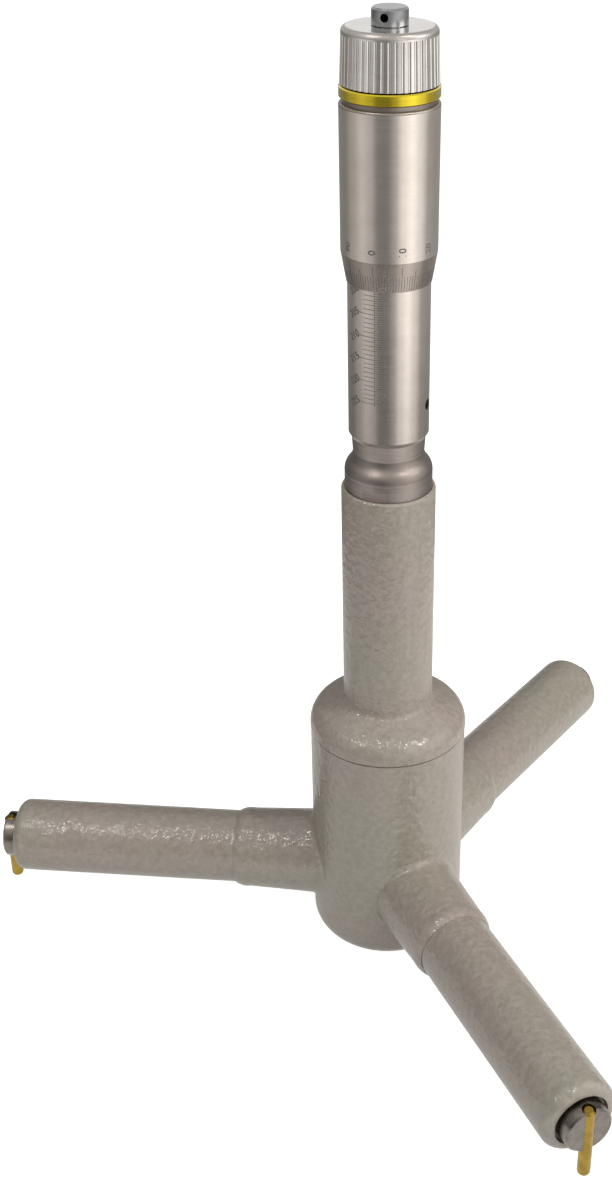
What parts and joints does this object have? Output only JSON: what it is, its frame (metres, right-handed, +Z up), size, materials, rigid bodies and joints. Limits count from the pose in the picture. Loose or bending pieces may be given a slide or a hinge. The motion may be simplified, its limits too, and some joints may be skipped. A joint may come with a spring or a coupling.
{
  "type": "three-point inside micrometer",
  "caption": "Three-point inside micrometer for 200 to 225 mm bores: graduated thimble and ratchet knob on a painted stem, a round head, and radial arms with gold contact pins",
  "frame": {"origin": "centre of the head body's flat bottom, on the instrument's axis", "axes": "+Z up along the instrument's axis to the ratchet, -X along one arm, the other arms at 60 and 300 degrees round Z"},
  "size_m": [0.1551, 0.1776, 0.2275],
  "materials": {
    "enamel": "hammertone enamel, satin with glossy specks",
    "satin_chrome": "satin chrome plate",
    "yellow_anodised": "yellow anodised, turned",
    "ground_steel": "ground hardened steel",
    "spring_steel": "drawn spring wire and strip",
    "gold_coating": "gold-coloured hard coating",
    "bearing_bronze": "turned bearing bronze"
  },
  "bodies": {
    "frame": {"head_body": "enamel", "stem_housing": "enamel", "handle_collar": "satin_chrome", "sleeve": "satin_chrome", "inner_sleeve": "ground_steel", "adjusting_nut": "ground_steel", "rod_guide": "bearing_bronze", "rod_key": "ground_steel", "arm_tube_1": "enamel", "arm_tube_2": "enamel", "arm_tube_3": "enamel", "rod_bush_1": "bearing_bronze", "rod_bush_2": "bearing_bronze", "rod_bush_3": "bearing_bronze", "anvil_key_1": "ground_steel", "anvil_key_2": "ground_steel", "anvil_key_3": "ground_steel", "return_spring_1": "spring_steel", "return_spring_2": "spring_steel", "return_spring_3": "spring_steel"},
    "push_rod": {"push_rod": "ground_steel", "measuring_cone": "ground_steel"},
    "spindle": {"spindle": "ground_steel"},
    "thimble": {"thimble": "satin_chrome", "thimble_ring": "yellow_anodised", "ratchet_wheel": "ground_steel", "ratchet_screw": "satin_chrome"},
    "ratchet_knob": {"ratchet_knob": "satin_chrome", "click_spring": "spring_steel"},
    "anvil_1_set": {"anvil_1": "ground_steel", "contact_pin_1": "gold_coating", "follower_rod_1": "ground_steel"},
    "anvil_2_set": {"anvil_2": "ground_steel", "contact_pin_2": "gold_coating", "follower_rod_2": "ground_steel"},
    "anvil_3_set": {"anvil_3": "ground_steel", "contact_pin_3": "gold_coating", "follower_rod_3": "ground_steel"}
  },
  "joints": [
    {"name": "spindle_feed", "type": "slide", "parent": "frame", "child": "spindle", "axis": [0, 0, -1], "range_m": [0, 0.025]},
    {"name": "thimble_turn", "type": "hinge", "parent": "spindle", "child": "thimble", "pos_m": [0, 0, 0.19], "axis": [0, 0, -1], "range_deg": [0, 18000]},
    {"name": "ratchet_turn", "type": "hinge", "parent": "thimble", "child": "ratchet_knob", "pos_m": [0, 0, 0.2185], "axis": [0, 0, -1], "continuous": true, "deforming": ["click_spring"]},
    {"name": "rod_feed", "type": "slide", "parent": "frame", "child": "push_rod", "axis": [0, 0, -1], "range_m": [0, 0.0125]},
    {"name": "anvil_1_slide", "type": "slide", "parent": "frame", "child": "anvil_1_set", "axis": [0.5, 0.866, 0], "range_m": [0, 0.0125], "deforming": ["return_spring_1"]},
    {"name": "anvil_2_slide", "type": "slide", "parent": "frame", "child": "anvil_2_set", "axis": [-1, 0, 0], "range_m": [0, 0.0125], "deforming": ["return_spring_2"]},
    {"name": "anvil_3_slide", "type": "slide", "parent": "frame", "child": "anvil_3_set", "axis": [0.5, -0.866, 0], "range_m": [0, 0.0125], "deforming": ["return_spring_3"]}
  ],
  "couplings": [
    {"joint": "thimble_turn", "follows": "spindle_feed", "rad_per_m": 12566},
    {"joint": "rod_feed", "follows": "spindle_feed", "ratio": 0.5},
    {"joint": "anvil_1_slide", "follows": "spindle_feed", "ratio": 0.5},
    {"joint": "anvil_2_slide", "follows": "spindle_feed", "ratio": 0.5},
    {"joint": "anvil_3_slide", "follows": "spindle_feed", "ratio": 0.5}
  ]
}
